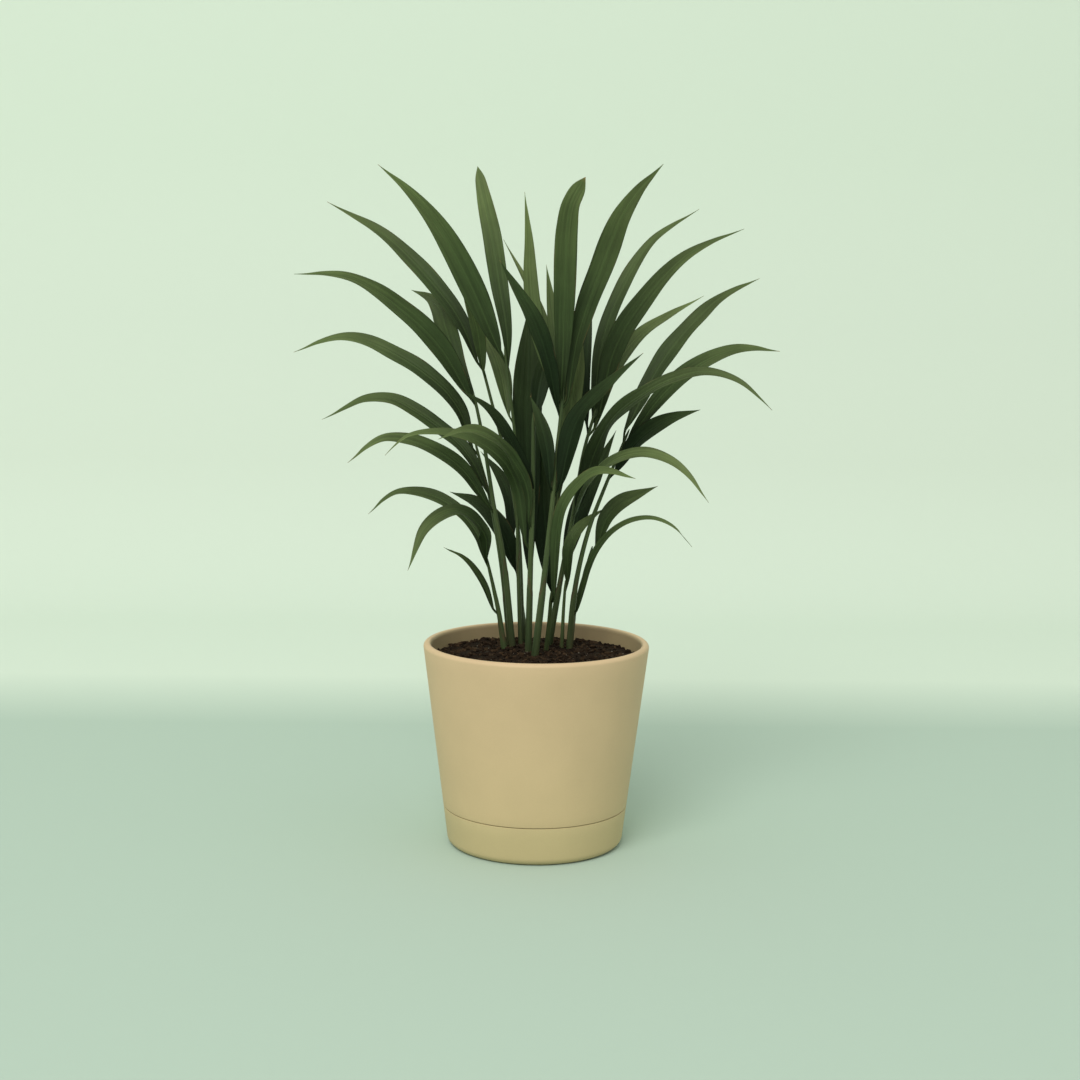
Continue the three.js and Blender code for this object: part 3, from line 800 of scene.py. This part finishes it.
def make_pot(material):
    seam = SEAM + SEAM_GAP
    base = pot_low.z
    underside = base + FOOT_HEIGHT
    floor = underside + POT_FLOOR
    foot = foot_outside(base) - FOOT_WIDTH
    wall = [(outside(z), z) for z in np.linspace(seam + 6 * MM, LIP_HEIGHT, 12)[:-1]]
    profile = [
        (0, underside),
        *rounded([
            (foot - 6 * MM, underside), (foot, underside), (foot, base),
            (foot_outside(base), base), (foot_outside(seam), seam), (outside(seam), seam),
            wall[0],
        ], SEAM_CHAMFER)[:-1],
        *wall,
        *arc((RIM_RADIUS - LIP_RADIUS, LIP_HEIGHT), LIP_RADIUS, 0, 180, 18),
        *rounded([
            (cavity(0.1), 0.1), (cavity(floor), floor), (cavity(floor) - 8 * MM, floor),
        ], 3 * MM, 6),
        (0, floor),
    ]
    vertices, faces = turned(profile)
    pot = new_piece("pot_shell", vertices, faces, "pot", material, sharp=SHARP_ANGLE)
    cutters = [drain_cutter(math.radians(45 + 90 * k)) for k in range(4)]
    for cutter in cutters:
        bpy.context.scene.collection.objects.link(cutter)
        cut = pot.modifiers.new("drain", "BOOLEAN")
        cut.operation = "DIFFERENCE"
        cut.solver = "EXACT"
        cut.object = cutter
    bpy.context.view_layer.update()
    graph = bpy.context.evaluated_depsgraph_get()
    finished = bpy.data.meshes.new_from_object(pot.evaluated_get(graph))
    pot.modifiers.clear()
    pot.data = finished
    for cutter in cutters:
        bpy.data.objects.remove(cutter)
    finished.set_sharp_from_angle(angle=math.radians(SHARP_ANGLE))


# ------------------------------------------------------------------ soil

SOIL_RINGS = 74
SOIL_SIDES = 240
SOIL_MOUND = 2 * MM
CRUMBS = 2400
CRUMB_CLEAR = 2.2 * MM  # crumbs keep this far from the pot's wall
PALE_SHARE = 0.045  # of the crumbs
BED_LOOK = (0.35, 0, 0)
RAGGED_EDGE = 5 * MM  # the bed is ragged within this distance of the pot's wall


def soil_height(x, y, edge, radius):
    mound = SOIL_MOUND * (1 - (math.hypot(x, y) / radius) ** 2)
    lumps = noise.noise(Vector((x, y, 0.3)) * 70) * 1.5 * MM
    small = noise.noise(Vector((x, y, 1.7)) * 240) * 0.9 * MM
    tiny = noise.noise(Vector((x, y, 4.1)) * 700) * 0.45 * MM
    at_wall = max(0, 1 - (radius - math.hypot(x, y)) / RAGGED_EDGE)
    ragged = noise.noise(Vector((x, y, 9.2)) * 330) * 3.2 * MM * at_wall
    return edge + mound + lumps + small + tiny + ragged


def crumb_shape():
    shape = bmesh.new()
    bmesh.ops.create_icosphere(shape, subdivisions=1, radius=1)
    points = np.array([v.co for v in shape.verts])
    faces = [tuple(v.index for v in face.verts) for face in shape.faces]
    shape.free()
    return points, faces


def make_soil(material):
    draw = random.Random(11)
    low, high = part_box("potting_soil")
    edge_height = high.z - SOIL_MOUND
    radius = outside(edge_height) - POT_WALL - 0.1 * MM
    vertices, look, faces = [(0, 0, soil_height(0, 0, edge_height, radius))], [(0.5, 0, 0)], []
    for ring in range(1, SOIL_RINGS + 1):
        for x, y, _ in circle(radius * ring / SOIL_RINGS, 0, SOIL_SIDES):
            vertices.append((x, y, soil_height(x, y, edge_height, radius)))
    for k in range(SOIL_SIDES):
        following = (k + 1) % SOIL_SIDES
        faces.append((0, 1 + k, 1 + following))
        for ring in range(SOIL_RINGS - 1):
            inner = 1 + ring * SOIL_SIDES
            outer = inner + SOIL_SIDES
            faces.append((inner + k, outer + k, outer + following, inner + following))
    rim = 1 + (SOIL_RINGS - 1) * SOIL_SIDES
    foot = len(vertices)
    base_radius = outside(low.z) - POT_WALL - 0.4 * MM
    vertices.extend(circle(base_radius, low.z, SOIL_SIDES))
    vertices.append((0, 0, low.z))
    look.extend([BED_LOOK] * (len(vertices) - 1))
    for k in range(SOIL_SIDES):
        following = (k + 1) % SOIL_SIDES
        faces.append((rim + k, foot + k, foot + following, rim + following))
        faces.append((foot + SOIL_SIDES, foot + following, foot + k))
    shape, shape_faces = crumb_shape()
    for _ in range(CRUMBS):
        r = (radius - CRUMB_CLEAR) * math.sqrt(draw.random())
        angle = draw.uniform(0, 2 * math.pi)
        x, y = r * math.cos(angle), r * math.sin(angle)
        pale = 1.0 if draw.random() < PALE_SHARE else 0.0
        if pale:
            size = draw.uniform(0.3, 0.55) * MM
        else:
            size = draw.uniform(0.35, 1.9) ** 1.4 * MM * 0.75
        stretch = np.array([
            draw.uniform(0.7, 1.9), draw.uniform(0.6, 1.1), draw.uniform(0.45, 0.9),
        ])
        turn = np.array(Euler((draw.uniform(-0.5, 0.5), draw.uniform(-0.5, 0.5),
                               draw.uniform(*ANY_TURN))).to_matrix())
        rough = np.array([draw.uniform(0.72, 1.2) for _ in range(len(shape))])[:, None]
        place = np.array([x, y, soil_height(x, y, edge_height, radius) + 0.25 * size])
        moved = (shape * rough * stretch * size) @ turn.T + place
        first = len(vertices)
        vertices.extend(tuple(v) for v in moved)
        tone = draw.uniform(0.1, 1.0)
        look.extend([(tone, pale, 0)] * len(shape))
        faces.extend(tuple(first + v for v in face) for face in shape_faces)
    new_piece("soil_bed", vertices, faces, "potting_soil", material, {"look": look}, sharp=50)


# ------------------------------------------------------------------ floor and backdrop


FLOOR_FRONT = -6.0
FLOOR_BACK = 0.75  # where the floor begins to curve up
BEND_RADIUS = 0.55
WALL_TOP = 3.4
HALF_WIDTH = 6.0
FLOOR_HEIGHT = -0.2 * MM  # just under the saucer, so that the two don't share a plane


def make_backdrop(material):
    """A floor that curves up into a wall behind the plant."""
    path = [(FLOOR_FRONT, 0.0), (FLOOR_BACK, 0.0)]
    path += [
        (FLOOR_BACK + BEND_RADIUS * math.sin(a), BEND_RADIUS - BEND_RADIUS * math.cos(a))
        for a in np.linspace(0, math.pi / 2, 33)[1:]
    ]
    path.append((FLOOR_BACK + BEND_RADIUS, WALL_TOP))
    vertices = [(x, y, z + FLOOR_HEIGHT) for y, z in path for x in (-HALF_WIDTH, HALF_WIDTH)]
    faces = [(2 * i, 2 * i + 1, 2 * i + 3, 2 * i + 2) for i in range(len(path) - 1)]
    mesh = bpy.data.meshes.new("backdrop")
    mesh.from_pydata(vertices, [], faces)
    mesh.polygons.foreach_set("use_smooth", [True] * len(faces))
    mesh.materials.append(material)
    made = bpy.data.objects.new("backdrop", mesh)
    bpy.context.scene.collection.objects.link(made)


def make_world():
    world = bpy.data.worlds.new("world")
    bpy.context.scene.world = world
    world.use_nodes = True
    sky = world.node_tree.nodes["Background"]
    sky.inputs["Color"].default_value = (1.0, 0.985, 0.94, 1)
    sky.inputs["Strength"].default_value = 0.72


# ------------------------------------------------------------------ the scene

bpy.context.scene.view_settings.view_transform = "Standard"
make_camera()
make_world()
make_light(
    "key", place=(-1.15, -3.3, 3.5), target=(0, 0.2, 0.3), size=3.0, power=150,
    colour=(1.0, 0.97, 0.93),
)
make_backdrop(backdrop_material())

make_saucer(plastic_material("saucer_look", SAUCER_SANDS))
make_pot(plastic_material("pot_look", POT_SANDS))
make_soil(soil_material())

petioles = sorted(name for name in NODES if name.endswith("_petiole"))
leaflets = sorted(name for name in NODES if "_leaflet_" in name)
lines = {name: petiole_line(name) for name in petioles}
stem_material = petiole_material()
for name in petioles:
    make_petiole(name, lines, stem_material)
leaf_materials = {slot: leaf_material(slot) for slot in LEAF_GREENS_LIT_AND_SHADED}
for name in leaflets:
    frond = name.split("_leaflet_")[0]
    make_leaflet(name, lines[frond + "_petiole"], leaf_materials[slot_of(name)])

bpy.context.view_layer.update()
